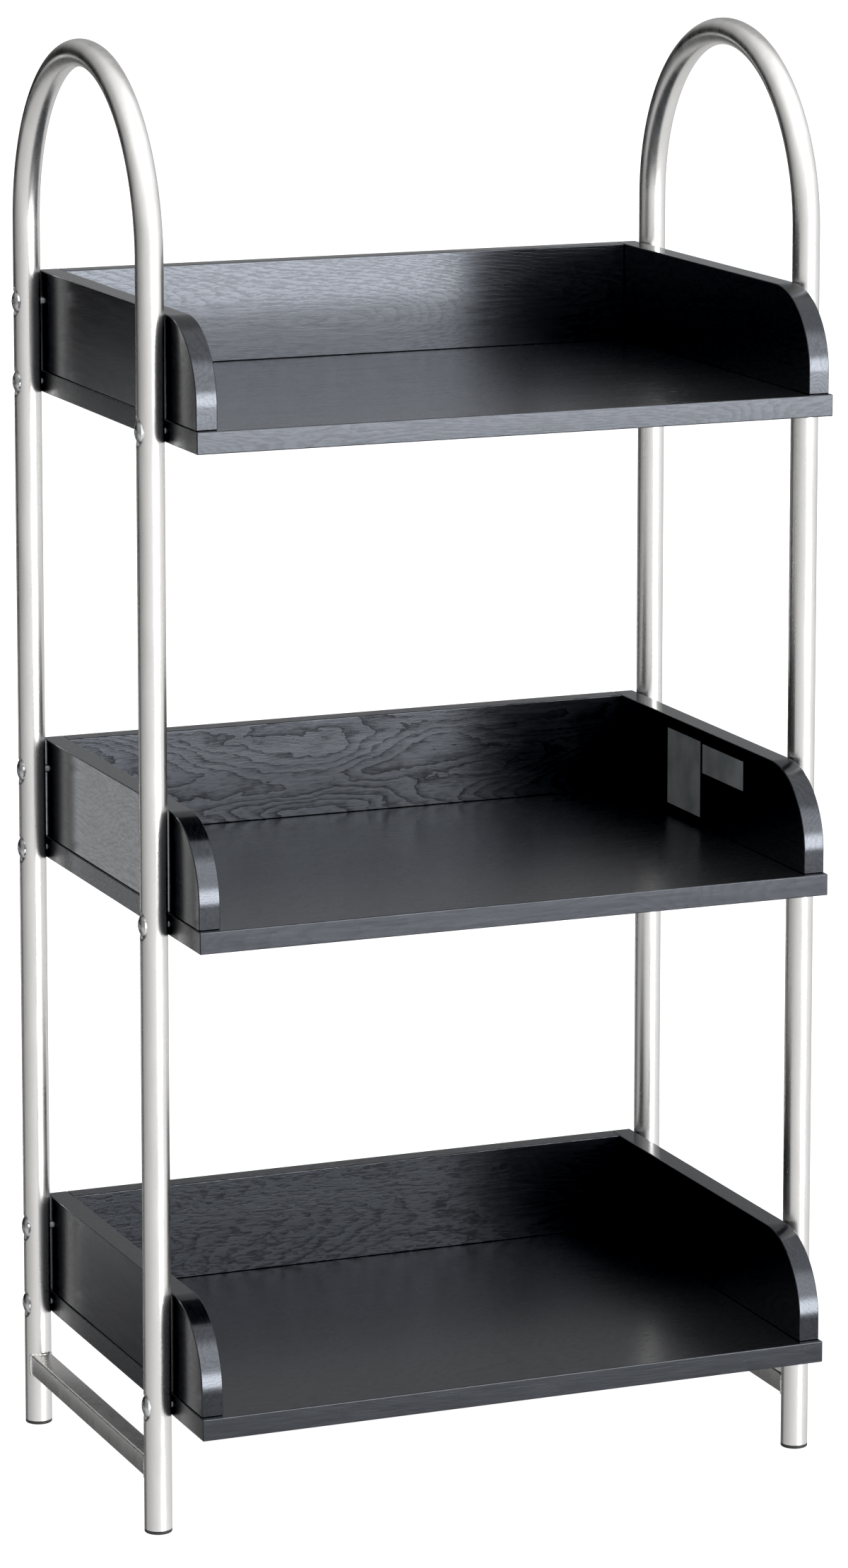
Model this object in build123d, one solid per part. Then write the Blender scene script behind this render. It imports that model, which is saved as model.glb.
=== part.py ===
from build123d import *
import os

# A tiered shoe rack: three open-fronted board trays bolted between two bent-tube hoops.
# Millimetres. +X is to the right of a person who faces the open front, +Y is to the rear,
# +Z is up. The origin is on the floor, midway between the outermost faces in X and in Y.

# ---- driving dimensions: frame ----
TUBE_DIAMETER = 19.0            # 3/4 in round steel tube
TUBE_WALL = 1.2
LEG_SPACING_Y = 255.0           # front leg to rear leg, centre to centre
RACK_HEIGHT = 1005.0            # floor to the top of the hoops
RAIL_SIZE = 15.0                # square cross rail
RAIL_WALL = 1.2
RAIL_CORNER = 1.5
RAIL_TOP = 52.0                 # floor to the rail's upper face

# ---- driving dimensions: trays ----
TRAY_WIDTH = 460.0
TRAY_HEIGHT = 85.0              # underside of the base to the top of the sides
BOARD = 15.0                    # thickness of every board
BASE_OVERHANG = 63.5            # base's front edge ahead of the front legs' centres
SIDE_SETBACK = 4.5              # base's front edge ahead of the sides' front edges
END_REVEAL = 1.0                # base's end beyond a side's outer face
SIDE_FRONT_RADIUS = 55.0        # quarter round at the front of each side's top
BOARD_EDGE = 0.8                # eased long edges at the base's front
TRAY_LEVELS = {"bottom": 81.0, "middle": 414.5, "top": 748.0}    # floor to base underside

# ---- driving dimensions: frame bolts and barrel nuts ----
BOLT_DIAMETER = 6.0
BOLT_CLEARANCE = 6.6
BOLT_HEAD_DIAMETER = 14.0
BOLT_HEAD_HEIGHT = 3.2
BOLT_HEAD_RIM = 1.2             # straight edge under the dome
BOLT_SOCKET_FLATS = 4.0
BOLT_SOCKET_DEPTH = 2.0
BOLT_CHAMFER = 0.6
SEAT_DIAMETER = 15.0            # round flat pressed into the tube under a bolt's head
SEAT_DEPTH = 2.0
NUT_DIAMETER = 10.0
NUT_LENGTH = 12.0
NUT_INSET = 34.0                # board's end to the barrel nut's axis
BOLT_PAST_NUT = 8.0             # nut's axis to the bolt's point
UPPER_BOLT_HEIGHT = 64.0        # above the base's underside
NUT_SLOT_WIDTH = 1.2
NUT_SLOT_DEPTH = 1.0

# ---- driving dimensions: screws and dowels ----
SCREW_DIAMETER = 4.5
SCREW_HEAD_DIAMETER = 9.0
SCREW_LENGTH = 45.0
SCREW_POINT = 5.0               # length of the conical point
SCREW_RECESS_WIDTH = 1.3
SCREW_RECESS_SPAN = 5.0
SCREW_RECESS_DEPTH = 1.6
DOWEL_DIAMETER = 8.0
DOWEL_LENGTH = 24.0
DOWEL_IN_BASE = 9.0
DOWEL_CHAMFER = 0.8
SIDE_SCREW_INSETS = (40.0, 232.0)    # behind the side's front edge
SIDE_DOWEL_INSETS = (90.0, 170.0)
BACK_SCREW_OFFSETS = (-120.0, 120.0)    # from the middle of the back panel
BACK_DOWEL_OFFSETS = (-60.0, 60.0)

# ---- driving dimensions: blank labels on the inner face of the middle tray's right side ----
LABEL_THICKNESS = 0.2
LABEL_INSETS = (99.0, 170.0)    # side's front edge to each label's front edge
LABEL_LENGTHS = (67.0, 55.0)
LABEL_BOTTOMS = (54.0, 21.0)    # above the base's underside
LABEL_HEIGHTS = (21.0, 55.0)

# ---- driving dimensions: foot caps ----
CAP_FLANGE = 2.5                # under the tube's end
CAP_EDGE = 0.6
CAP_PLUG_LENGTH = 18.0
CAP_PLUG_DIAMETER = 15.4
CAP_PLUG_BORE = 12.0
CAP_RIB_HEIGHT = 1.6
CAP_RIB_LEVELS = (4.0, 8.5, 13.0)    # above the flange

# ---- derived dimensions ----
TUBE_RADIUS = TUBE_DIAMETER / 2
TUBE_BORE = TUBE_DIAMETER - 2 * TUBE_WALL
FRAME_REACH = TRAY_WIDTH / 2 + TUBE_DIAMETER   # rack's centre plane to a hoop's outer side
HEAD_REACH = FRAME_REACH - SEAT_DEPTH          # rack's centre plane to under a bolt's head
LEG_X = (TRAY_WIDTH + TUBE_DIAMETER) / 2       # rack's centre plane to a leg's centre
LEG_GAP = LEG_SPACING_Y / 2                    # hoop's centre to a leg's centre
OVERALL_FRONT = -LEG_GAP - BASE_OVERHANG       # base's front edge, from the hoop's centre
OVERALL_REAR = LEG_GAP + TUBE_RADIUS           # back of the rear legs, from the hoop's centre
HOOP_Y = -(OVERALL_FRONT + OVERALL_REAR) / 2   # puts the origin midway from front to rear
FRONT_LEG_Y = HOOP_Y - LEG_GAP
REAR_LEG_Y = HOOP_Y + LEG_GAP
BASE_FRONT = HOOP_Y + OVERALL_FRONT
SIDE_FRONT = BASE_FRONT + SIDE_SETBACK
BACK_MID_Y = REAR_LEG_Y                        # the upper bolts run along the back panel's middle
TRAY_REAR = BACK_MID_Y + BOARD / 2
BASE_DEPTH = TRAY_REAR - BASE_FRONT
SIDE_HEIGHT = TRAY_HEIGHT - BOARD
BACK_WIDTH = TRAY_WIDTH - 2 * (END_REVEAL + BOARD)
SIDE_X = (BACK_WIDTH + BOARD) / 2              # rack's centre plane to a side's mid-thickness
HOOP_STRAIGHT_TOP = RACK_HEIGHT - TUBE_RADIUS - LEG_GAP

SIDES = {"left": -1, "right": 1}
LEGS = {"front": FRONT_LEG_Y, "rear": REAR_LEG_Y}

os.makedirs("parts", exist_ok=True)


def rod_z(diameter, length, x, y, z):
    """A rod that stands on (x, y, z)."""
    return Pos(x, y, z) * Cylinder(
        diameter / 2, length, align=(Align.CENTER, Align.CENTER, Align.MIN)
    )


def rod_x(diameter, length, x, y, z, sign):
    """A rod that starts at (x, y, z) and runs along X, away from the side that sign names."""
    turn = Rot(Y=-90 * sign)
    return Pos(x, y, z) * turn * Cylinder(
        diameter / 2, length, align=(Align.CENTER, Align.CENTER, Align.MIN)
    )


def rod_y(diameter, length, x, y, z):
    """A rod that starts at (x, y, z) and runs towards the front."""
    return Pos(x, y, z) * Rot(X=90) * Cylinder(
        diameter / 2, length, align=(Align.CENTER, Align.CENTER, Align.MIN)
    )


# ---- where the fasteners are ----

def lower_bolt_places(level):
    """(sign, y, z) of the bolts that go through a leg into the base's end."""
    z = level + BOARD / 2
    return [(sign, y, z) for sign in SIDES.values() for y in LEGS.values()]


def upper_bolt_places(level):
    """(sign, y, z) of the bolts that go through a rear leg and a side into the back panel."""
    z = level + UPPER_BOLT_HEIGHT
    return [(sign, REAR_LEG_Y, z) for sign in SIDES.values()]


def screw_places():
    """(x, y) of the screws that come up through the base."""
    in_sides = [
        (sign * SIDE_X, SIDE_FRONT + inset)
        for sign in SIDES.values()
        for inset in SIDE_SCREW_INSETS
    ]
    in_back = [(x, BACK_MID_Y) for x in BACK_SCREW_OFFSETS]
    return in_sides + in_back


def dowel_places():
    """(x, y) of the dowels between the base and the boards on it."""
    in_sides = [
        (sign * SIDE_X, SIDE_FRONT + inset)
        for sign in SIDES.values()
        for inset in SIDE_DOWEL_INSETS
    ]
    in_back = [(x, BACK_MID_Y) for x in BACK_DOWEL_OFFSETS]
    return in_sides + in_back


# ---- frame ----

def hoop_path(x):
    """Centre line of a hoop: up the front leg, over the half circle, down the rear leg."""
    front_foot = (x, FRONT_LEG_Y, CAP_FLANGE)
    front_bend = (x, FRONT_LEG_Y, HOOP_STRAIGHT_TOP)
    crown = (x, HOOP_Y, HOOP_STRAIGHT_TOP + LEG_GAP)
    rear_bend = (x, REAR_LEG_Y, HOOP_STRAIGHT_TOP)
    rear_foot = (x, REAR_LEG_Y, CAP_FLANGE)
    return Wire([
        Line(front_foot, front_bend),
        ThreePointArc(front_bend, crown, rear_bend),
        Line(rear_bend, rear_foot),
    ])


def press_seat(tube, sign, y, z):
    """Presses a round flat into a leg's outer side, with the wall dished in behind it."""
    crest = sign * FRAME_REACH
    leg = rod_z(TUBE_DIAMETER, HOOP_STRAIGHT_TOP - CAP_FLANGE, sign * LEG_X, y, CAP_FLANGE)
    dish = rod_x(SEAT_DIAMETER + 2 * TUBE_WALL, SEAT_DEPTH + TUBE_WALL, crest, y, z, sign)
    tube += dish & leg
    return tube - rod_x(SEAT_DIAMETER, SEAT_DEPTH, crest, y, z, sign)


def hoop(sign):
    """A bent tube with a pressed seat and a clearance hole right through for each frame bolt."""
    x = sign * LEG_X
    path = hoop_path(x)
    start = Plane(origin=(x, FRONT_LEG_Y, CAP_FLANGE), z_dir=(0, 0, 1))
    ring = start * (Circle(TUBE_RADIUS) - Circle(TUBE_BORE / 2))
    tube = sweep(ring, path=path)
    for level in TRAY_LEVELS.values():
        for bolt_sign, y, z in lower_bolt_places(level) + upper_bolt_places(level):
            if bolt_sign == sign:
                tube = press_seat(tube, sign, y, z)
                tube -= Pos(x, y, z) * Rot(Y=90) * Cylinder(BOLT_CLEARANCE / 2, 2 * TUBE_DIAMETER)
    return tube


def cross_rail(sign):
    """A square tube whose ends are cut to the round of the legs that it is welded to."""
    middle = Plane(
        origin=(sign * LEG_X, FRONT_LEG_Y, RAIL_TOP - RAIL_SIZE / 2),
        x_dir=(1, 0, 0),
        z_dir=(0, 1, 0),
    )
    inner = RAIL_SIZE - 2 * RAIL_WALL
    section = RectangleRounded(RAIL_SIZE, RAIL_SIZE, RAIL_CORNER) - Rectangle(inner, inner)
    rail = extrude(middle * section, LEG_SPACING_Y)
    for y in LEGS.values():
        rail -= rod_z(TUBE_DIAMETER, RAIL_TOP + RAIL_SIZE, sign * LEG_X, y, 0)
    return rail


def foot_cap(sign, y):
    """A ribbed plastic plug in a leg's end, with a flange that the rack stands on."""
    flange = rod_z(TUBE_DIAMETER, CAP_FLANGE, 0, 0, 0)
    flange = chamfer(flange.edges().group_by(Axis.Z)[0], CAP_EDGE)
    plug = rod_z(CAP_PLUG_DIAMETER, CAP_PLUG_LENGTH, 0, 0, CAP_FLANGE)
    cap = flange + plug
    for level in CAP_RIB_LEVELS:
        cap += rod_z(TUBE_BORE, CAP_RIB_HEIGHT, 0, 0, CAP_FLANGE + level)
    cap -= rod_z(CAP_PLUG_BORE, CAP_PLUG_LENGTH, 0, 0, CAP_FLANGE)
    return Pos(sign * LEG_X, y, 0) * cap


# ---- boards ----

def drill_base(base, level):
    """Takes the bolt bores, nut bores, countersunk screw holes and dowel bores out of a base."""
    for sign, y, z in lower_bolt_places(level):
        end = sign * TRAY_WIDTH / 2
        base -= rod_x(BOLT_CLEARANCE, NUT_INSET + BOLT_PAST_NUT, end, y, z, sign)
        base -= rod_z(NUT_DIAMETER, (BOARD + NUT_LENGTH) / 2, end - sign * NUT_INSET, y, level)
    for x, y in screw_places():
        base -= rod_z(SCREW_DIAMETER, BOARD, x, y, level)
        base -= screw_head(x, y, level)
    for x, y in dowel_places():
        base -= rod_z(DOWEL_DIAMETER, DOWEL_IN_BASE, x, y, level + BOARD - DOWEL_IN_BASE)
    return base


def base_board(level):
    """A tray's floor: the sides and the back stand on it."""
    base = Pos(0, BASE_FRONT, level) * Box(
        TRAY_WIDTH, BASE_DEPTH, BOARD, align=(Align.CENTER, Align.MIN, Align.MIN)
    )
    front_edges = base.faces().sort_by(Axis.Y)[0].edges().filter_by(Axis.X)
    base = fillet(front_edges, BOARD_EDGE)
    return drill_base(base, level)


def side_board(level, sign):
    """A tray's side, with a quarter round at the front of its top edge."""
    floor = level + BOARD
    side = Pos(sign * SIDE_X, SIDE_FRONT, floor) * Box(
        BOARD, TRAY_REAR - SIDE_FRONT, SIDE_HEIGHT, align=(Align.CENTER, Align.MIN, Align.MIN)
    )
    corner = side.edges().filter_by(Axis.X).group_by(Axis.Z)[-1].sort_by(Axis.Y)[0]
    side = fillet(corner, SIDE_FRONT_RADIUS)
    for bolt_sign, y, z in upper_bolt_places(level):
        if bolt_sign == sign:
            outer_face = sign * (BACK_WIDTH / 2 + BOARD)
            side -= rod_x(BOLT_CLEARANCE, BOARD, outer_face, y, z, sign)
    return drill_standing(side, level)


def drill_standing(board, level):
    """Takes the screw holes and dowel bores out of the underside of a board on the base."""
    floor = level + BOARD
    in_board = SCREW_LENGTH - BOARD
    for x, y in screw_places():
        board -= rod_z(SCREW_DIAMETER, in_board, x, y, floor)
    for x, y in dowel_places():
        board -= rod_z(DOWEL_DIAMETER, DOWEL_LENGTH - DOWEL_IN_BASE, x, y, floor)
    return board


def back_panel(level):
    """A tray's back, between the sides, with bolt bores in its ends."""
    floor = level + BOARD
    back = Pos(0, BACK_MID_Y, floor) * Box(
        BACK_WIDTH, BOARD, SIDE_HEIGHT, align=(Align.CENTER, Align.CENTER, Align.MIN)
    )
    for sign, y, z in upper_bolt_places(level):
        end = sign * BACK_WIDTH / 2
        back -= rod_x(BOLT_CLEARANCE, NUT_INSET + BOLT_PAST_NUT, end, y, z, sign)
        back -= rod_y(
            NUT_DIAMETER, (BOARD + NUT_LENGTH) / 2, end - sign * NUT_INSET, TRAY_REAR, z
        )
    return drill_standing(back, level)


def blank_labels(level):
    """Two thin blank labels, stuck side by side on the inner face of a tray's right side."""
    labels = []
    for inset, length, bottom, height in zip(
        LABEL_INSETS, LABEL_LENGTHS, LABEL_BOTTOMS, LABEL_HEIGHTS
    ):
        sheet = Box(LABEL_THICKNESS, length, height, align=(Align.MAX, Align.MIN, Align.MIN))
        labels.append(Pos(BACK_WIDTH / 2, SIDE_FRONT + inset, level + bottom) * sheet)
    return Compound(labels)


# ---- fasteners ----

def frame_bolt(length):
    """A domed bolt along +Z, its head below Z = 0, with a hexagon socket."""
    dome_height = BOLT_HEAD_HEIGHT - BOLT_HEAD_RIM
    head_radius = BOLT_HEAD_DIAMETER / 2
    dome_radius = (head_radius ** 2 + dome_height ** 2) / (2 * dome_height)
    head = rod_z(BOLT_HEAD_DIAMETER, BOLT_HEAD_HEIGHT, 0, 0, -BOLT_HEAD_HEIGHT)
    head &= Pos(0, 0, dome_radius - BOLT_HEAD_HEIGHT) * Sphere(dome_radius)
    shank = rod_z(BOLT_DIAMETER, length, 0, 0, 0)
    shank = chamfer(shank.edges().group_by(Axis.Z)[-1], BOLT_CHAMFER)
    hexagon = RegularPolygon(BOLT_SOCKET_FLATS / 2, 6, major_radius=False)
    socket = extrude(Pos(0, 0, -BOLT_HEAD_HEIGHT) * hexagon, BOLT_SOCKET_DEPTH)
    return head + shank - socket


def barrel_nut():
    """A cross dowel along Z, centred on the bolt that runs through it along X, slotted below."""
    nut = Cylinder(NUT_DIAMETER / 2, NUT_LENGTH)
    nut -= Rot(Y=90) * Cylinder(BOLT_DIAMETER / 2, NUT_DIAMETER)
    slot = Box(
        NUT_SLOT_WIDTH, NUT_DIAMETER, NUT_SLOT_DEPTH, align=(Align.CENTER, Align.CENTER, Align.MIN)
    )
    return nut - Pos(0, 0, -NUT_LENGTH / 2) * slot


def screw_head(x, y, z):
    """A countersunk head whose flat is at z, and which narrows to the shank above it."""
    depth = (SCREW_HEAD_DIAMETER - SCREW_DIAMETER) / 2
    return Pos(x, y, z) * Cone(
        SCREW_HEAD_DIAMETER / 2,
        SCREW_DIAMETER / 2,
        depth,
        align=(Align.CENTER, Align.CENTER, Align.MIN),
    )


def base_screw(x, y, z):
    """A countersunk screw that points up, with a cross recess in its head."""
    straight = SCREW_LENGTH - SCREW_POINT
    screw = screw_head(x, y, z) + rod_z(SCREW_DIAMETER, straight, x, y, z)
    screw += Pos(x, y, z + straight) * Cone(
        SCREW_DIAMETER / 2, 0, SCREW_POINT, align=(Align.CENTER, Align.CENTER, Align.MIN)
    )
    for turn in (0, 90):
        screw -= Pos(x, y, z) * Rot(Z=turn) * Box(
            SCREW_RECESS_SPAN,
            SCREW_RECESS_WIDTH,
            SCREW_RECESS_DEPTH,
            align=(Align.CENTER, Align.CENTER, Align.MIN),
        )
    return screw


def dowel(x, y, z):
    """A chamfered wooden dowel that stands on (x, y, z)."""
    peg = rod_z(DOWEL_DIAMETER, DOWEL_LENGTH, 0, 0, 0)
    peg = chamfer(peg.edges().filter_by(GeomType.CIRCLE), DOWEL_CHAMFER)
    return Pos(x, y, z) * peg


def frame_bolts(level):
    """A tray's six bolts, each with its head against the outer side of a leg."""
    lower_length = TUBE_DIAMETER - SEAT_DEPTH + NUT_INSET + BOLT_PAST_NUT
    lower = frame_bolt(lower_length)
    upper = frame_bolt(lower_length + END_REVEAL + BOARD)
    bolts = []
    for pattern, places in ((lower, lower_bolt_places(level)), (upper, upper_bolt_places(level))):
        for sign, y, z in places:
            bolts.append(Pos(sign * HEAD_REACH, y, z) * Rot(Y=-90 * sign) * pattern)
    return Compound(bolts)


def barrel_nuts(level):
    """The nuts that a tray's six bolts screw into."""
    nuts = []
    for sign, y, z in lower_bolt_places(level):
        nuts.append(Pos(sign * (TRAY_WIDTH / 2 - NUT_INSET), y, z) * barrel_nut())
    for sign, y, z in upper_bolt_places(level):
        nuts.append(Pos(sign * (BACK_WIDTH / 2 - NUT_INSET), y, z) * Rot(X=90) * barrel_nut())
    return Compound(nuts)


def base_screws(level):
    """The screws that hold a tray's sides and back down on its base."""
    return Compound([base_screw(x, y, level) for x, y in screw_places()])


def dowels(level):
    """The dowels that locate a tray's sides and back on its base."""
    return Compound([dowel(x, y, level + BOARD - DOWEL_IN_BASE) for x, y in dowel_places()])


# ---- assembly ----

nodes = {}
for side_name, side_sign in SIDES.items():
    nodes[f"{side_name}_hoop"] = hoop(side_sign)
    nodes[f"{side_name}_cross_rail"] = cross_rail(side_sign)
    for leg_name, leg_y in LEGS.items():
        nodes[f"{side_name}_{leg_name}_foot_cap"] = foot_cap(side_sign, leg_y)

for tier, tier_level in TRAY_LEVELS.items():
    nodes[f"{tier}_base_board"] = base_board(tier_level)
    for side_name, side_sign in SIDES.items():
        nodes[f"{tier}_{side_name}_side"] = side_board(tier_level, side_sign)
    nodes[f"{tier}_back_panel"] = back_panel(tier_level)
    nodes[f"{tier}_frame_bolts"] = frame_bolts(tier_level)
    nodes[f"{tier}_barrel_nuts"] = barrel_nuts(tier_level)
    nodes[f"{tier}_base_screws"] = base_screws(tier_level)
    nodes[f"{tier}_dowels"] = dowels(tier_level)

nodes["middle_blank_labels"] = blank_labels(TRAY_LEVELS["middle"])

for node, shape in nodes.items():
    export_step(shape, f"parts/{node}.step")
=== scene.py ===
import math

import bmesh
import bpy
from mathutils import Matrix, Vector


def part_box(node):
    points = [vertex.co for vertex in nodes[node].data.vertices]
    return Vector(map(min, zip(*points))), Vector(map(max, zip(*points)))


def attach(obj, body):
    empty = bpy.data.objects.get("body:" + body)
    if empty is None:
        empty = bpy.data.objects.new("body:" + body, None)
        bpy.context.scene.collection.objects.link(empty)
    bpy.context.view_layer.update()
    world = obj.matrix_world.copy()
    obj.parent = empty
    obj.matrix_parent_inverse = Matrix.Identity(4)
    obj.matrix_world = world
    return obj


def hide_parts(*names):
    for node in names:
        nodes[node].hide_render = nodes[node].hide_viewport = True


# Looks of the tiered shoe rack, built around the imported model. Everything is in metres.

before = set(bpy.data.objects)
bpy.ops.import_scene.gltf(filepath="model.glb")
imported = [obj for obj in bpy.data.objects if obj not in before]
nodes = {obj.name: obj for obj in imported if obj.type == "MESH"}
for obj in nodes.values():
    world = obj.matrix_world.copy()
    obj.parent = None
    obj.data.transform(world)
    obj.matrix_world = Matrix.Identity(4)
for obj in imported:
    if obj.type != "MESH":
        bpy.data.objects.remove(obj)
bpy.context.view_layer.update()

SIDES = {"left": -1, "right": 1}
LEGS = ("front", "rear")
TIERS = ("bottom", "middle", "top")

MM = 0.001
TUBE_WALL = 1.2 * MM
RAIL_CORNER = 1.5 * MM
SEAT_DEPTH = 2.0 * MM          # how far a bolt's head is sunk into the tube
SEAT_RADIUS = 7.2 * MM
SEAT_LIP = 2.6 * MM            # width of the rounded edge round a pressed seat
SIDE_FRONT_RADIUS = 55.0 * MM
BOARD_EASE = 0.7 * MM          # rounding of a board's edges
NUT_RADIUS = 5.0 * MM
NUT_INSET = 34.0 * MM
NUT_DEPTH = 13.5 * MM
SCREW_RADIUS = 2.25 * MM
SCREW_HEAD_RADIUS = 4.5 * MM
SCREW_DEPTH = 14.0 * MM
CAP_ROUND = 0.7 * MM           # rounding of a foot cap's lower edge
CAP_RECESS = 0.25 * MM         # hollow in a foot cap's underside, and its upper chamfer
CAP_GAP = 0.01 * MM            # keeps a cap's flange off the end of the tube
CAP_CLEARANCE = 0.1 * MM       # round the plug, inside the tube
CAP_LEAD = 1.0 * MM            # taper at the plug's upper end
WELD_RADIUS = 1.15 * MM
WELD_STEP = 0.6 * MM
WELD_RIPPLES = ((0.12, 1.25), (0.06, 0.37))    # share of the radius, radians a step

TUBE_AROUND = 96
BEND_STEPS = 96
LEG_STEPS = 24
SEAT_STEPS = 24
RAIL_STEPS = 12
WELD_AROUND = 10
CAP_AROUND = 72
BORE_AROUND = 48
CURVE_STEPS = 40               # along a side's quarter round
SHARP_EDGE = 0.5               # radians between faces, above which a board's edge is eased
BOARD_SMOOTH = 25              # degrees between faces, up to which a board shades smooth

FLOOR_GLOSS, PANEL_GLOSS = 0.24, 0.15    # roughness of the foil on tray floors and on panels
BACK_FIGURE = {"bottom": (0.5, 1.5), "middle": (1.5, 0.9), "top": (0.35, 0.5)}    # rings, flecks
QUIET_FIGURE = (0.35, 0.35)
FOIL_BODY, FOIL_EARLY = (0.0045, 0.0047, 0.0054), (0.0032, 0.0034, 0.004)
FOIL_PORE = (0.0022, 0.0022, 0.0026)
FOIL_TINT = (0.86, 0.91, 1.0, 1)
GROWTH_RINGS = 80.0            # bands in each unit of the board's noise field

# base colours, each between two tones
SILVER = (0.72, 0.705, 0.68), (0.80, 0.785, 0.76)
PLASTIC = (0.008, 0.008, 0.008), (0.02, 0.02, 0.02)
NICKEL = (0.72, 0.72, 0.72), (0.82, 0.82, 0.82)
ZINC = (0.5, 0.52, 0.55), (0.66, 0.67, 0.69)
BEECH = (0.42, 0.27, 0.15), (0.62, 0.44, 0.28)
# the labels' grey is painted shade: white label stock darkened to stand for the shade it sits in
SHADED_PAPER = (0.15, 0.16, 0.165), (0.22, 0.23, 0.235)

FLOOR_HALF = 14.0
FLOOR_GREY = (0.3, 0.3, 0.3, 1)
FLOOR_GLOW = 0.96

# the studio: directions are (azimuth, elevation), and a ramp is (from, to, low, high), in degrees
LIT_SIDE = (28, 0)
ROOM_LIGHT, GROUND_LIGHT = (0.5, 0.68), (0.24, 0.76)    # share of toward(LIT_SIDE), level
CORNER = (-160, -14)
CORNER_IN_ROOM, CORNER_ON_GROUND = (40, 18, 1.0, 0.04), (36, 12, 1.0, 0.2)
CEILING = (20, 60, 1.0, 1.8)
HIGH_BEHIND, HIGH_BEHIND_DIM = (150, 36), (31, 14, 1.0, 0.4)
ABOVE_HORIZON = (4, 18, 0.0, 0.18)
GROUND_EDGE = (-9, -19)
SCREEN_LEFT, SCREEN_RIGHT = (6, 14), (40, 32)
SCREEN_FOOT, SCREEN_BODY = (-15.5, -12.5, 0.0, 1.1), (-9.5, -6.0, 0.0, 15.0)
SCREEN_FADE, SCREEN_TOP = (6, 14, 1.0, 0.22), (42, 60, 1.0, 0.0)
PATCH, PATCH_LIGHT = (-160, -12.3), (5, 2, 0.0, 1.5)
STUDIO_TINT = (0.97, 0.98, 1.0, 1)

CAMERA_PLACE = (-1.507, -3.670, 1.324)
CAMERA_AZIMUTH, CAMERA_PITCH = 22.28, 8.93    # degrees to the right of +Y, and down
CAMERA_SENSOR, CAMERA_LENS = 36.0, 133.2      # mm
CAMERA_SHIFT = -0.20
BLACK_POINT = 0.0035           # scene light shown as full black


# ---- small mesh helpers ----

def new_object(name, mesh):
    """Links a new object and rides it on the only body."""
    piece = bpy.data.objects.new(name, mesh)
    bpy.context.scene.collection.objects.link(piece)
    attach(piece, "root")
    return piece


def mesh_from_bmesh(name, bm, smooth_angle=None):
    """Turns a bmesh into a mesh with outward normals, smooth where the faces meet gently."""
    bmesh.ops.recalc_face_normals(bm, faces=bm.faces)
    mesh = bpy.data.meshes.new(name)
    bm.to_mesh(mesh)
    bm.free()
    for face in mesh.polygons:
        face.use_smooth = True
    if smooth_angle is not None:
        mesh.set_sharp_from_angle(angle=math.radians(smooth_angle))
    return mesh


def apply_modifiers(piece):
    """Replaces a piece's mesh by the result of its modifiers."""
    depsgraph = bpy.context.evaluated_depsgraph_get()
    result = bpy.data.meshes.new_from_object(piece.evaluated_get(depsgraph))
    piece.modifiers.clear()
    piece.data = result


def level_shading(piece):
    """Lets the large faces set the normals, so they shade flat right up to their eased edges."""
    modifier = piece.modifiers.new("level", "WEIGHTED_NORMAL")
    modifier.keep_sharp = True
    modifier.weight = 100
    apply_modifiers(piece)


def finish_piece(piece, material):
    """Gives a piece its one material."""
    piece.data.materials.clear()
    piece.data.materials.append(material)


def skin_rings(bm, rings, closed):
    """Joins neighbouring rings of vertices with quads; closed joins the last to the first."""
    count = len(rings[0])
    last = len(rings) if closed else len(rings) - 1
    for i in range(last):
        here, there = rings[i], rings[(i + 1) % len(rings)]
        for j in range(count):
            k = (j + 1) % count
            bm.faces.new((here[j], here[k], there[k], there[j]))


def ring_of(bm, points):
    """Adds a ring of vertices."""
    return [bm.verts.new(p) for p in points]


def cap_ends(bm, rings):
    """Closes the first and last ring with a face each."""
    for ring in (rings[0], rings[-1]):
        bm.faces.new(ring)


def circle(centre, across, up, radius, around):
    """Points of a circle, starting across and turning towards up."""
    turns = (2 * math.pi * j / around for j in range(around))
    return [centre + radius * (across * math.cos(a) + up * math.sin(a)) for a in turns]


def smoothstep(x):
    """Eases from 0 to 1, flat at both ends."""
    x = max(0.0, min(1.0, x))
    return x * x * (3 - 2 * x)


# ---- procedural materials ----

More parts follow.
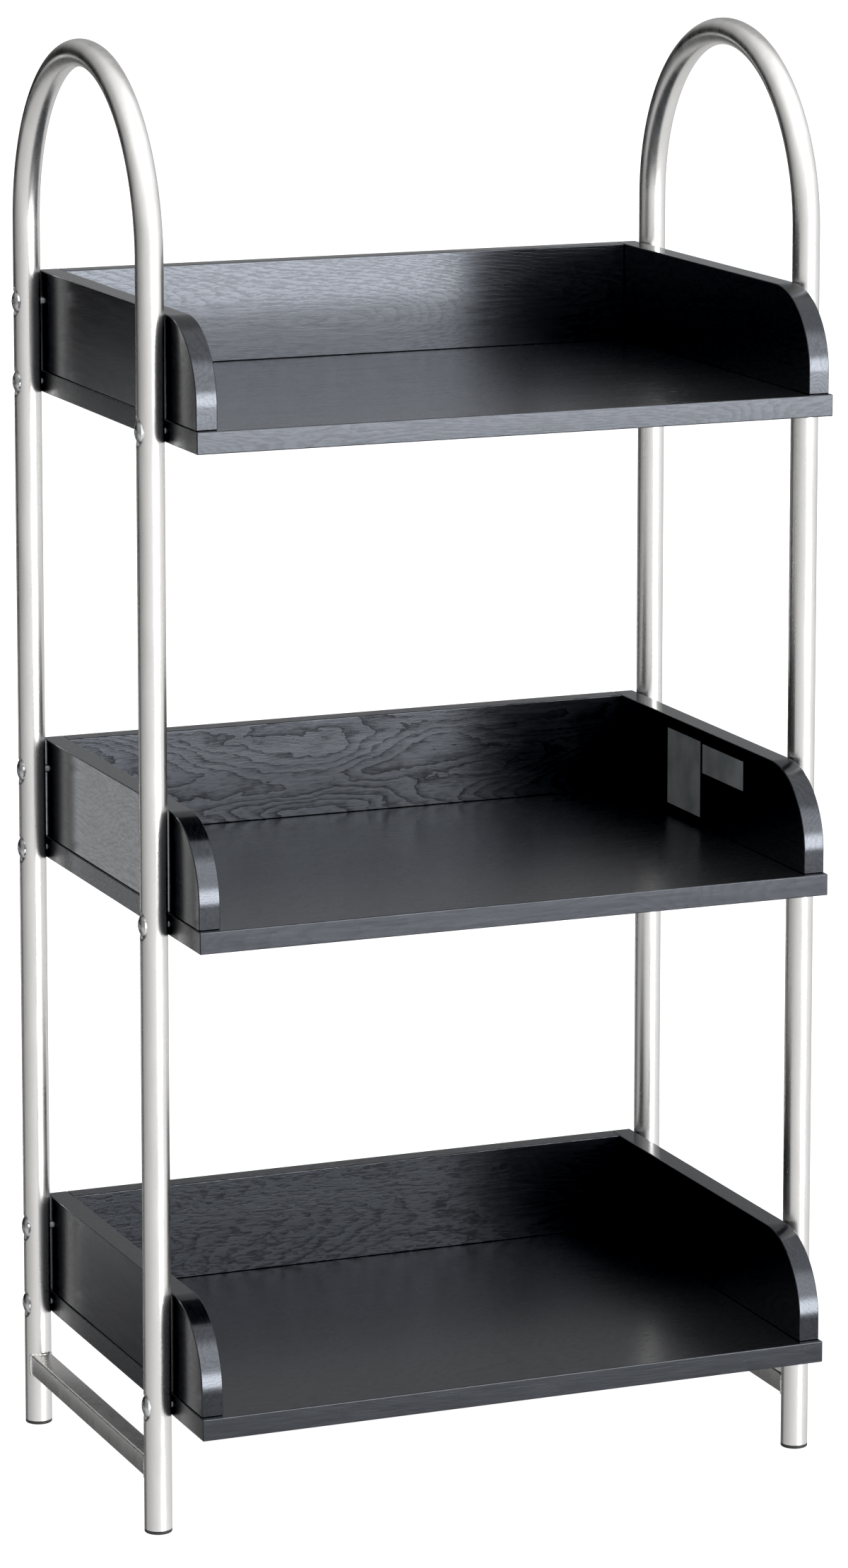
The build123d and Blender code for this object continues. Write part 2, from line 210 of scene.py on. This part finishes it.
class Graph:
    """A few short calls that keep a node tree readable."""

    def __init__(self, name):
        self.material = bpy.data.materials.new(name)
        self.material.use_nodes = True
        self.tree = self.material.node_tree
        self.shader = self.tree.nodes["Principled BSDF"]

    def add(self, kind, **settings):
        node = self.tree.nodes.new(kind)
        for key, value in settings.items():
            setattr(node, key, value)
        return node

    def join(self, source, target):
        self.tree.links.new(source, target)

    def set(self, **values):
        for key, value in values.items():
            self.shader.inputs[key.replace("_", " ")].default_value = value

    def place(self, scale=(1, 1, 1), shift=(0, 0, 0)):
        """Object coordinates in millimetres, moved and stretched."""
        coords = self.add("ShaderNodeTexCoord")
        mapping = self.add("ShaderNodeMapping")
        mapping.inputs["Scale"].default_value = [s / MM for s in scale]
        mapping.inputs["Location"].default_value = shift
        self.join(coords.outputs["Object"], mapping.inputs["Vector"])
        return mapping.outputs["Vector"]

    def noise(self, vector, scale, detail=2.0, rough=0.5, warp=0.0):
        node = self.add("ShaderNodeTexNoise")
        self.join(vector, node.inputs["Vector"])
        node.inputs["Scale"].default_value = scale
        node.inputs["Detail"].default_value = detail
        node.inputs["Roughness"].default_value = rough
        node.inputs["Distortion"].default_value = warp
        return node.outputs["Fac"]

    def math(self, operation, a, b=None, c=None):
        node = self.add("ShaderNodeMath", operation=operation)
        for socket, value in zip(node.inputs, (a, b, c)):
            if value is None:
                continue
            if isinstance(value, (int, float)):
                socket.default_value = value
            else:
                self.join(value, socket)
        return node.outputs[0]

    def span(self, value, low, high, to_low=0.0, to_high=1.0):
        node = self.add("ShaderNodeMapRange", interpolation_type="SMOOTHSTEP")
        self.join(value, node.inputs["Value"])
        for key, number in zip(
            ("From Min", "From Max", "To Min", "To Max"), (low, high, to_low, to_high)
        ):
            node.inputs[key].default_value = number
        return node.outputs["Result"]

    def blend(self, factor, first, second):
        # the mix node's colour sockets are inputs 6 and 7 and output 2
        node = self.add("ShaderNodeMix", data_type="RGBA")
        self.join(factor, node.inputs["Factor"])
        for socket, value in ((node.inputs[6], first), (node.inputs[7], second)):
            if isinstance(value, tuple):
                socket.default_value = (*value, 1.0)
            else:
                self.join(value, socket)
        return node.outputs[2]

    def colour(self, value, low, high, first, second):
        """Base colour, from first to second as value goes from low to high."""
        self.join(self.blend(self.span(value, low, high), first, second),
                  self.shader.inputs["Base Color"])

    def rough(self, value, low, high, smooth, coarse):
        """Roughness, from smooth to coarse as value goes from low to high."""
        self.join(self.span(value, low, high, smooth, coarse), self.shader.inputs["Roughness"])

    def bump(self, height, distance):
        node = self.add("ShaderNodeBump")
        node.inputs["Distance"].default_value = distance
        self.join(height, node.inputs["Height"])
        self.join(node.outputs["Normal"], self.shader.inputs["Normal"])


def silver_tube():
    """Satin silver lacquer: fine metallic flake, soft orange peel, faint handling marks."""
    g = Graph("satin_silver_tube")
    fine = g.noise(g.place(), 2.6, detail=2.0)
    peel = g.noise(g.place(), 0.35, detail=3.0)
    rubs = g.noise(g.place(scale=(1, 1, 0.18)), 0.09, detail=5.0, rough=0.65)
    shade = g.math("ADD", g.math("MULTIPLY", fine, 0.35), g.math("MULTIPLY", rubs, 0.65))
    g.colour(shade, 0.3, 0.7, *SILVER)
    g.rough(rubs, 0.25, 0.8, 0.24, 0.34)
    g.set(Metallic=1.0)
    height = g.math("ADD", g.math("MULTIPLY", peel, 0.8), g.math("MULTIPLY", fine, 0.2))
    g.bump(height, 0.008 * MM)
    return g.material


def ash_board(name, along, shift, gloss, rings, flecks):
    """Black ash woodgrain foil. along is the grain's axis and gloss the roughness of smooth foil;
    rings and flecks are how strongly the growth rings and the open pores show."""
    g = Graph(name)

    def stretched(share):
        scale = [1.0, 1.0, 1.0]
        scale["XYZ".index(along)] = share
        return g.place(scale=scale, shift=shift)

    # growth rings: a slowly wandering field cut into bands, as on a flat-sawn board
    field = g.noise(stretched(0.22), 0.012, detail=1.5, rough=0.4, warp=0.3)
    waver = g.noise(stretched(0.4), 0.09, detail=3.0, rough=0.55)
    field = g.math("MULTIPLY_ADD", waver, 0.03, field)
    bands = g.math("FRACT", g.math("MULTIPLY", field, GROWTH_RINGS))
    early = g.math("POWER", g.math("SUBTRACT", 1.0, bands), 2.2)
    # open pores: short dashes, crowded in the early wood
    pores = g.noise(stretched(0.2), 0.8, detail=3.0, rough=0.65)
    crowd = g.math("MULTIPLY_ADD", early, 0.1, pores)
    dash = g.span(crowd, 0.46, 0.62)
    fibre = g.noise(stretched(0.06), 0.5, detail=4.0, rough=0.6)
    body = g.blend(early, FOIL_BODY, FOIL_EARLY)
    tone = g.blend(dash, body, FOIL_PORE)
    g.join(tone, g.shader.inputs["Base Color"])
    rough = g.span(fibre, 0.3, 0.7, gloss - 0.02, gloss + 0.02)
    g.join(g.math("MULTIPLY_ADD", dash, 0.06 * flecks, rough), g.shader.inputs["Roughness"])
    # less light comes back from the early wood and the pores
    level = g.math("MULTIPLY_ADD", early, -0.16 * rings, g.span(fibre, 0.3, 0.7, 0.48, 0.54))
    level = g.math("MULTIPLY_ADD", dash, -0.16 * flecks, level)
    g.join(level, g.shader.inputs["Specular IOR Level"])
    g.set(IOR=1.55, Specular_Tint=FOIL_TINT)
    height = g.math("MULTIPLY_ADD", dash, -0.5 * flecks, g.math("MULTIPLY", early, -0.8 * rings))
    height = g.math("MULTIPLY_ADD", fibre, 0.15, height)
    g.bump(height, 0.014 * MM)
    return g.material


def black_plastic():
    """Moulded black plastic with a fine spark-eroded texture."""
    g = Graph("black_plastic")
    grain = g.noise(g.place(), 3.0, detail=3.0)
    g.colour(grain, 0.3, 0.7, *PLASTIC)
    g.rough(grain, 0.2, 0.8, 0.38, 0.55)
    g.bump(grain, 0.03 * MM)
    return g.material


def plated_steel(name, low, high, rough_low, rough_high):
    """Plated steel with faint turning marks and uneven plating."""
    g = Graph(name)
    patch = g.noise(g.place(), 0.4, detail=4.0)
    fine = g.noise(g.place(), 6.0, detail=2.0)
    g.colour(patch, 0.3, 0.7, low, high)
    g.rough(patch, 0.3, 0.7, rough_low, rough_high)
    g.set(Metallic=1.0)
    g.bump(fine, 0.01 * MM)
    return g.material


def beech():
    """Plain beech dowel with short darker flecks."""
    g = Graph("beech_dowel")
    fibre = g.noise(g.place(scale=(1, 1, 0.08)), 1.6, detail=4.0)
    g.colour(fibre, 0.35, 0.65, *BEECH)
    g.rough(fibre, 0.3, 0.7, 0.55, 0.7)
    g.bump(fibre, 0.05 * MM)
    return g.material


def label_paper():
    """Blank satin label stock, slightly mottled; its white is darkened to grey as painted shade,
    for the shade the labels sit in.
    """
    g = Graph("label_paper")
    fibre = g.noise(g.place(), 0.8, detail=5.0)
    broad = g.noise(g.place(), 0.05, detail=2.0)
    g.colour(broad, 0.3, 0.7, *SHADED_PAPER)
    g.rough(fibre, 0.3, 0.7, 0.32, 0.42)
    g.bump(fibre, 0.02 * MM)
    return g.material


# ---- frame pieces ----

def bolt_places(side, leg):
    """(y, z) of the bolts through one leg, from the boxes of the cap, the boards and the bolts."""
    low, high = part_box(f"{side}_{leg}_foot_cap")
    leg_y = (low.y + high.y) / 2
    places = []
    for tier in TIERS:
        base_low, base_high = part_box(f"{tier}_base_board")
        lower = (base_low.z + base_high.z) / 2
        places.append((leg_y, lower))
        if leg == "rear":
            bolts_low, bolts_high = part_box(f"{tier}_frame_bolts")
            head_radius = lower - bolts_low.z
            places.append((leg_y, bolts_high.z - head_radius))
    return places


def leg_heights(foot, bend, bolts):
    """Heights of the rings up a straight leg, close together at each bolt."""
    reach = SEAT_RADIUS + SEAT_LIP + 1 * MM
    heights = {foot, bend}
    for i in range(1, LEG_STEPS):
        heights.add(foot + (bend - foot) * i / LEG_STEPS)
    for _, z in bolts:
        heights = {h for h in heights if abs(h - z) > reach or h in (foot, bend)}
        for i in range(SEAT_STEPS + 1):
            heights.add(z - reach + 2 * reach * i / SEAT_STEPS)
    return sorted(heights)


def press_point(point, sign, crest, bolts):
    """Sinks a point of a leg's outer side into the pressed seats near it."""
    for y, z in bolts:
        away = math.hypot(point.y - y, point.z - z)
        sunk = SEAT_DEPTH * smoothstep((SEAT_RADIUS + SEAT_LIP - away) / SEAT_LIP)
        if sunk > 0 and point.x * sign > 0:
            limit = crest - sunk
            if point.x * sign > limit:
                point.x = sign * limit
    return point


def hoop(side):
    """A bent tube with a wall, and a round flat pressed in under each bolt's head."""
    sign = SIDES[side]
    low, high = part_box(f"{side}_hoop")
    radius = (high.x - low.x) / 2
    middle_x = (low.x + high.x) / 2
    middle_y = (low.y + high.y) / 2
    bend_radius = (high.y - low.y) / 2 - radius
    bend_z = high.z - radius - bend_radius
    crest = max(abs(low.x), abs(high.x))
    front, rear = bolt_places(side, "front"), bolt_places(side, "rear")

    stations = []    # (centre, direction out from the hoop's middle)
    for z in leg_heights(low.z, bend_z, front)[:-1]:
        stations.append((Vector((middle_x, middle_y - bend_radius, z)), Vector((0, -1, 0))))
    for i in range(BEND_STEPS + 1):
        angle = math.pi * i / BEND_STEPS
        out = Vector((0, -math.cos(angle), math.sin(angle)))
        stations.append((Vector((middle_x, middle_y, bend_z)) + bend_radius * out, out))
    for z in reversed(leg_heights(low.z, bend_z, rear)[:-1]):
        stations.append((Vector((middle_x, middle_y + bend_radius, z)), Vector((0, 1, 0))))

    bm = bmesh.new()
    rings = {}
    for wall, ring_radius in (("outer", radius), ("inner", radius - TUBE_WALL)):
        face = crest if wall == "outer" else crest - TUBE_WALL
        rings[wall] = []
        for centre, out in stations:
            points = circle(centre, out, Vector((1, 0, 0)), ring_radius, TUBE_AROUND)
            pressed = [press_point(point, sign, face, front + rear) for point in points]
            rings[wall].append(ring_of(bm, pressed))
        skin_rings(bm, rings[wall], closed=False)
    for end in (0, -1):
        skin_rings(bm, [rings["outer"][end], rings["inner"][end]], closed=False)
    piece = new_object(f"{side}_hoop_tube", mesh_from_bmesh(f"{side}_hoop_tube", bm, 50))
    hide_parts(f"{side}_hoop")
    return piece


def rounded_square(half, corner, steps=8):
    """Points round a square with rounded corners, in two axes."""
    points = []
    for quarter in range(4):
        a0 = quarter * math.pi / 2
        cx = (half - corner) * (1 if quarter in (0, 3) else -1)
        cy = (half - corner) * (1 if quarter in (0, 1) else -1)
        for i in range(steps + 1):
            a = a0 + math.pi / 2 * i / steps
            points.append((cx + corner * math.cos(a), cy + corner * math.sin(a)))
    return points


def cross_rail(side):
    """A square tube, its ends cut to the round of the legs."""
    low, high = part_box(f"{side}_cross_rail")
    hoop_low, hoop_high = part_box(f"{side}_hoop")
    tube_radius = (hoop_high.x - hoop_low.x) / 2
    half = (high.x - low.x) / 2
    middle = (low + high) / 2
    leg_front = hoop_low.y + tube_radius
    leg_rear = hoop_high.y - tube_radius
    outline = rounded_square(half, RAIL_CORNER)
    bm = bmesh.new()
    rings = []
    for i in range(RAIL_STEPS + 1):
        points = []
        for x, z in outline:
            scoop = math.sqrt(tube_radius ** 2 - x ** 2)
            y0, y1 = leg_front + scoop, leg_rear - scoop
            points.append(Vector((middle.x + x, y0 + (y1 - y0) * i / RAIL_STEPS, middle.z + z)))
        rings.append(ring_of(bm, points))
    skin_rings(bm, rings, closed=False)
    cap_ends(bm, rings)
    piece = new_object(f"{side}_square_rail", mesh_from_bmesh(f"{side}_square_rail", bm, 40))
    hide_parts(f"{side}_cross_rail")
    return piece


def weld_bead(side, leg):
    """A small rippled fillet weld where a cross rail meets a leg."""
    low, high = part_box(f"{side}_cross_rail")
    hoop_low, hoop_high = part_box(f"{side}_hoop")
    tube_radius = (hoop_high.x - hoop_low.x) / 2
    half = (high.x - low.x) / 2
    middle = (low + high) / 2
    facing = 1 if leg == "front" else -1
    leg_y = hoop_low.y + tube_radius if leg == "front" else hoop_high.y - tube_radius
    seam = []
    for x, z in rounded_square(half, RAIL_CORNER, steps=3):
        scoop = math.sqrt(tube_radius ** 2 - x ** 2)
        seam.append(Vector((middle.x + x, leg_y + facing * scoop, middle.z + z)))
    dense = []
    for i, here in enumerate(seam):
        there = seam[(i + 1) % len(seam)]
        pieces = max(1, round((there - here).length / WELD_STEP))
        for k in range(pieces):
            point = here.lerp(there, k / pieces)
            x = point.x - middle.x
            point.y = leg_y + facing * math.sqrt(tube_radius ** 2 - x ** 2)
            dense.append(point)
    bm = bmesh.new()
    rings = []
    for i, point in enumerate(dense):
        ahead = (dense[(i + 1) % len(dense)] - dense[i - 1]).normalized()
        out = Vector((point.x - middle.x, 0, point.z - middle.z)).normalized()
        beside = ahead.cross(out).normalized()
        ripple = 1 + sum(share * math.sin(i * pace) for share, pace in WELD_RIPPLES)
        rings.append(ring_of(bm, circle(point, out, beside, WELD_RADIUS * ripple, WELD_AROUND)))
    skin_rings(bm, rings, closed=True)
    name = f"{side}_{leg}_weld"
    return new_object(name, mesh_from_bmesh(name, bm))


def lathe(bm, profile, centre):
    """Turns an open (radius, height) outline round a vertical axis."""
    rings = []
    for r, z in profile:
        level = centre + Vector((0, 0, z))
        points = circle(level, Vector((1, 0, 0)), Vector((0, 1, 0)), r, CAP_AROUND)
        rings.append(ring_of(bm, points))
    skin_rings(bm, rings, closed=False)
    return rings


def foot_cap(side, leg):
    """A moulded cap: a flange with rounded edges under a short plug."""
    node = f"{side}_{leg}_foot_cap"
    low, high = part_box(node)
    centre = Vector(((low.x + high.x) / 2, (low.y + high.y) / 2, low.z))
    r = (high.x - low.x) / 2
    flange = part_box(f"{side}_hoop")[0].z - low.z
    height = high.z - low.z
    hub, recess, rim = r * 0.3, r * 0.62, r * 0.66
    plug = r - TUBE_WALL - CAP_CLEARANCE
    profile = [(hub, CAP_RECESS), (recess, CAP_RECESS), (rim, 0.0)]
    for i in range(7):
        a = math.pi / 2 * i / 6
        inward, rise = CAP_ROUND * (1 - math.sin(a)), CAP_ROUND * (1 - math.cos(a))
        profile.append((r - inward, rise))
    profile += [
        (r, flange - CAP_RECESS),
        (r - CAP_RECESS, flange - CAP_GAP),
        (plug, flange - CAP_GAP),
        (plug, height - CAP_LEAD),
        (r - TUBE_WALL - CAP_LEAD, height),
        (hub, height),
    ]
    bm = bmesh.new()
    rings = lathe(bm, profile, centre)
    cap_ends(bm, rings)
    piece = new_object(f"{side}_{leg}_foot", mesh_from_bmesh(node, bm, 35))
    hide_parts(node)
    return piece


# ---- boards ----

def board_prism(name, outline, axis, low, high):
    """A board with eased edges: an outline in the two other axes, run along axis, low to high."""
    bm = bmesh.new()
    rings = []
    others = [i for i in range(3) if i != axis]
    for level in (low, high):
        points = []
        for a, b in outline:
            point = [0.0, 0.0, 0.0]
            point[axis] = level
            point[others[0]] = a
            point[others[1]] = b
            points.append(point)
        rings.append(ring_of(bm, points))
    skin_rings(bm, rings, closed=False)
    cap_ends(bm, rings)
    bmesh.ops.recalc_face_normals(bm, faces=bm.faces)
    sharp = [e for e in bm.edges if len(e.link_faces) == 2 and e.calc_face_angle() > SHARP_EDGE]
    bmesh.ops.bevel(bm, geom=sharp, offset=BOARD_EASE, segments=4, profile=0.5, affect="EDGES")
    return new_object(name, mesh_from_bmesh(name, bm, BOARD_SMOOTH))


def cut_holes(piece, holes):
    """Bores holes in a piece; each is (start, direction, radius, depth, mouth radius)."""
    bm = bmesh.new()
    over = 1 * MM    # how far a cutter stands out of the surface
    for start, way, radius, depth, mouth in holes:
        side_a = way.orthogonal().normalized()
        side_b = way.cross(side_a)
        profile = [(radius, -over), (radius, depth)]
        if mouth > radius:    # countersunk
            profile = [(mouth, -over), (mouth, 0.0), (radius, mouth - radius), (radius, depth)]
        rings = [
            ring_of(bm, circle(start + way * along, side_a, side_b, r, BORE_AROUND))
            for r, along in profile
        ]
        skin_rings(bm, rings, closed=False)
        cap_ends(bm, rings)
    cutter = bpy.data.objects.new("cutter", mesh_from_bmesh("cutter", bm))
    bpy.context.scene.collection.objects.link(cutter)
    modifier = piece.modifiers.new("bore", "BOOLEAN")
    modifier.operation = "DIFFERENCE"
    modifier.solver = "EXACT"
    modifier.object = cutter
    apply_modifiers(piece)
    bpy.data.objects.remove(cutter)
    for face in piece.data.polygons:
        face.use_smooth = True
    piece.data.set_sharp_from_angle(angle=math.radians(BOARD_SMOOTH))


def base_board(tier):
    """The floor of a tray, with the nut holes in its underside."""
    node = f"{tier}_base_board"
    low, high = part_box(node)
    outline = [(low.x, low.y), (high.x, low.y), (high.x, high.y), (low.x, high.y)]
    piece = board_prism(f"{tier}_base", outline, 2, low.z, high.z)
    holes = []
    up = Vector((0, 0, 1))
    for side, sign in SIDES.items():
        for leg in LEGS:
            y = bolt_places(side, leg)[0][0]
            x = sign * (high.x - NUT_INSET)
            holes.append((Vector((x, y, low.z)), up, NUT_RADIUS, NUT_DEPTH, NUT_RADIUS))
    for x, y in screw_places(tier):
        start = Vector((x, y, low.z))
        holes.append((start, up, SCREW_RADIUS, SCREW_DEPTH, SCREW_HEAD_RADIUS))
    cut_holes(piece, holes)
    level_shading(piece)
    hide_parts(node)
    return piece


def islands(node):
    """Middle of each separate solid in a CAD node."""
    mesh = nodes[node].data
    bm = bmesh.new()
    bm.from_mesh(mesh)
    bmesh.ops.remove_doubles(bm, verts=bm.verts, dist=0.001 * MM)
    left = set(bm.verts)
    middles = []
    while left:
        stack = [left.pop()]
        found = []
        while stack:
            vert = stack.pop()
            found.append(vert.co.copy())
            for edge in vert.link_edges:
                other = edge.other_vert(vert)
                if other in left:
                    left.remove(other)
                    stack.append(other)
        low = Vector([min(c[i] for c in found) for i in range(3)])
        high = Vector([max(c[i] for c in found) for i in range(3)])
        middles.append((low + high) / 2)
    bm.free()
    return middles


def screw_places(tier):
    """(x, y) of the screws in a tray's base."""
    return [(m.x, m.y) for m in islands(f"{tier}_base_screws")]


def side_outline(low, high):
    """(y, z) outline of a tray's side, with the quarter round at the front of its top."""
    r = SIDE_FRONT_RADIUS
    points = [(high.y, low.z), (low.y, low.z)]
    for i in range(CURVE_STEPS + 1):
        a = math.pi / 2 * i / CURVE_STEPS
        points.append((low.y + r - r * math.cos(a), high.z - r + r * math.sin(a)))
    points.append((high.y, high.z))
    return points


def side_board(tier, side):
    """A side of a tray."""
    node = f"{tier}_{side}_side"
    low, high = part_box(node)
    piece = board_prism(f"{tier}_{side}_wall", side_outline(low, high), 0, low.x, high.x)
    level_shading(piece)
    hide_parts(node)
    return piece


def back_board(tier):
    """The back of a tray, with a nut hole near each end of its rear face."""
    node = f"{tier}_back_panel"
    low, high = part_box(node)
    outline = [(low.x, low.y), (high.x, low.y), (high.x, high.y), (low.x, high.y)]
    piece = board_prism(f"{tier}_back", outline, 2, low.z, high.z)
    z = bolt_places("right", "rear")[2 * TIERS.index(tier) + 1][1]
    holes = []
    for sign in SIDES.values():
        start = Vector((sign * (high.x - NUT_INSET), high.y, z))
        holes.append((start, Vector((0, -1, 0)), NUT_RADIUS, NUT_DEPTH, NUT_RADIUS))
    cut_holes(piece, holes)
    level_shading(piece)
    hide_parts(node)
    return piece


# ---- build ----

tube = silver_tube()
plastic = black_plastic()
for side in SIDES:
    finish_piece(hoop(side), tube)
    finish_piece(cross_rail(side), tube)
    for leg in LEGS:
        finish_piece(weld_bead(side, leg), tube)
        finish_piece(foot_cap(side, leg), plastic)

for number, tier in enumerate(TIERS):
    spot = (37.0 * number, 53.0 * number, 71.0 * number)
    behind = (spot[0] + 11, spot[1] + 5, spot[2])
    floor_foil = ash_board(f"{tier}_floor_foil", "X", spot, FLOOR_GLOSS, *QUIET_FIGURE)
    back_foil = ash_board(f"{tier}_back_foil", "X", behind, PANEL_GLOSS, *BACK_FIGURE[tier])
    finish_piece(base_board(tier), floor_foil)
    finish_piece(back_board(tier), back_foil)
    for side, sign in SIDES.items():
        beside = (spot[0], spot[1] + 17 * sign, spot[2])
        side_foil = ash_board(f"{tier}_{side}_foil", "Y", beside, PANEL_GLOSS, *QUIET_FIGURE)
        finish_piece(side_board(tier, side), side_foil)

nickel = plated_steel("nickel_bolt", *NICKEL, 0.16, 0.3)
zinc = plated_steel("zinc_steel", *ZINC, 0.25, 0.45)
wood = beech()
label = label_paper()
KEPT = {    # CAD pieces shown as they are, by the end of their name
    "frame_bolts": nickel,
    "barrel_nuts": zinc,
    "base_screws": zinc,
    "dowels": wood,
    "blank_labels": label,
}
for name, node in nodes.items():
    for ending, material in KEPT.items():
        if name.endswith(ending):
            node.data.materials.clear()
            node.data.materials.append(material)


# ---- floor, light and camera ----

def studio_floor():
    """A pale floor that glows nearly white, so only a faint shadow shows, and isn't mirrored."""
    mesh = bpy.data.meshes.new("floor")
    h = FLOOR_HALF
    mesh.from_pydata([(-h, -h, 0), (h, -h, 0), (h, h, 0), (-h, h, 0)], [], [(0, 1, 2, 3)])
    floor = bpy.data.objects.new("floor", mesh)
    bpy.context.scene.collection.objects.link(floor)
    g = Graph("floor")
    g.set(Base_Color=FLOOR_GREY, Roughness=0.9, Emission_Color=(1, 1, 1, 1),
          Emission_Strength=FLOOR_GLOW)
    mesh.materials.append(g.material)
    floor.visible_glossy = False


def studio_world():
    """Seen directly, plain white. As light and in reflections, a soft studio: a tall bright screen
    ahead on the right, a pale floor, and a dim corner behind on the left."""
    world = bpy.data.worlds.new("studio")
    bpy.context.scene.world = world
    world.use_nodes = True
    tree = world.node_tree
    tree.nodes.clear()

    def add(kind, **settings):
        node = tree.nodes.new(kind)
        for key, value in settings.items():
            setattr(node, key, value)
        return node

    def feed(socket, value):
        if isinstance(value, (int, float)):
            socket.default_value = value
        else:
            tree.links.new(value, socket)

    def calc(operation, *values):
        node = add("ShaderNodeMath", operation=operation)
        for socket, value in zip(node.inputs, values):
            feed(socket, value)
        return node.outputs[0]

    def ramp(value, start, end, low=0.0, high=1.0):
        node = add("ShaderNodeMapRange", interpolation_type="SMOOTHSTEP")
        for socket, number in zip(node.inputs, (value, start, end, low, high)):
            feed(socket, number)
        return node.outputs["Result"]

    def toward(azimuth, elevation=0.0):
        """How nearly a direction points at an azimuth (0 is ahead of the rack, 90 its right)."""
        turn, rise = math.radians(azimuth), math.radians(elevation)
        node = add("ShaderNodeVectorMath", operation="DOT_PRODUCT")
        node.inputs[1].default_value = (
            math.sin(turn) * math.cos(rise), -math.cos(turn) * math.cos(rise), math.sin(rise)
        )
        tree.links.new(coords.outputs["Generated"], node.inputs[0])
        return node.outputs["Value"]

    def angle_ramp(value, start, end, low=0.0, high=1.0):
        """Goes from low to high between two angles, in degrees."""
        return ramp(value, math.radians(start), math.radians(end), low, high)

    def near(value, far_angle, close_angle, low=0.0, high=1.0):
        """Goes from low to high between two angles away from a toward() direction."""
        start, end = math.cos(math.radians(far_angle)), math.cos(math.radians(close_angle))
        return ramp(value, start, end, low, high)

    coords = add("ShaderNodeTexCoord")
    axes = add("ShaderNodeSeparateXYZ")
    tree.links.new(coords.outputs["Generated"], axes.inputs[0])
    elevation = calc("ARCSINE", axes.outputs["Z"])
    azimuth = calc("ARCTAN2", axes.outputs["X"], calc("MULTIPLY", axes.outputs["Y"], -1.0))

    # the room: dark in the corner behind on the left, dimmer high behind on the right
    lit_side, corner = toward(*LIT_SIDE), toward(*CORNER)
    room = calc("MULTIPLY_ADD", lit_side, *ROOM_LIGHT)
    room = calc("MULTIPLY", room, near(corner, *CORNER_IN_ROOM))
    room = calc("MULTIPLY", room, angle_ramp(elevation, *CEILING))
    room = calc("MULTIPLY", room, near(toward(*HIGH_BEHIND), *HIGH_BEHIND_DIM))
    room = calc("ADD", room, angle_ramp(elevation, *ABOVE_HORIZON))
    # the pale ground takes over low down
    ground = calc("MULTIPLY_ADD", lit_side, *GROUND_LIGHT)
    ground = calc("MULTIPLY", ground, near(corner, *CORNER_ON_GROUND))
    low_down = angle_ramp(elevation, *GROUND_EDGE)
    room = calc("MULTIPLY", room, calc("SUBTRACT", 1.0, low_down))
    base = calc("ADD", room, calc("MULTIPLY", ground, low_down))

    # the screen: brightest within 6 degrees of the horizon, much weaker above
    screen = calc("MULTIPLY", angle_ramp(azimuth, *SCREEN_LEFT), angle_ramp(azimuth, *SCREEN_RIGHT))
    foot, body = angle_ramp(elevation, *SCREEN_FOOT), angle_ramp(elevation, *SCREEN_BODY)
    fade = angle_ramp(elevation, *SCREEN_FADE)
    fade = calc("MULTIPLY", fade, angle_ramp(elevation, *SCREEN_TOP))
    screen = calc("MULTIPLY", screen, calc("MULTIPLY", calc("ADD", foot, body), fade))
    # a small patch of light in the dark corner
    patch = near(toward(*PATCH), *PATCH_LIGHT)
    level = calc("ADD", calc("ADD", base, screen), patch)

    studio = add("ShaderNodeBackground")
    studio.inputs["Color"].default_value = STUDIO_TINT
    tree.links.new(level, studio.inputs["Strength"])
    plain = add("ShaderNodeBackground")
    plain.inputs["Color"].default_value = (1, 1, 1, 1)
    path = add("ShaderNodeLightPath")
    mix = add("ShaderNodeMixShader")
    tree.links.new(path.outputs["Is Camera Ray"], mix.inputs[0])
    tree.links.new(studio.outputs[0], mix.inputs[1])
    tree.links.new(plain.outputs[0], mix.inputs[2])
    output = add("ShaderNodeOutputWorld")
    tree.links.new(mix.outputs[0], output.inputs["Surface"])


def studio_camera():
    """The view from ahead, to the left and above."""
    camera = bpy.data.objects.new("camera", bpy.data.cameras.new("camera"))
    bpy.context.scene.collection.objects.link(camera)
    camera.location = CAMERA_PLACE
    azimuth, pitch = math.radians(CAMERA_AZIMUTH), math.radians(CAMERA_PITCH)
    camera.rotation_euler = (math.pi / 2 - pitch, 0.0, -azimuth)
    camera.data.sensor_width = CAMERA_SENSOR
    camera.data.lens = CAMERA_LENS
    camera.data.shift_y = CAMERA_SHIFT
    bpy.context.scene.camera = camera


def studio_view():
    """Plain display colours, with the darkest blacks pulled down a little."""
    view = bpy.context.scene.view_settings
    view.view_transform = "Standard"
    view.use_curve_mapping = True
    view.curve_mapping.black_level = (BLACK_POINT, BLACK_POINT, BLACK_POINT)
    view.curve_mapping.update()


studio_floor()
studio_world()
studio_camera()
studio_view()
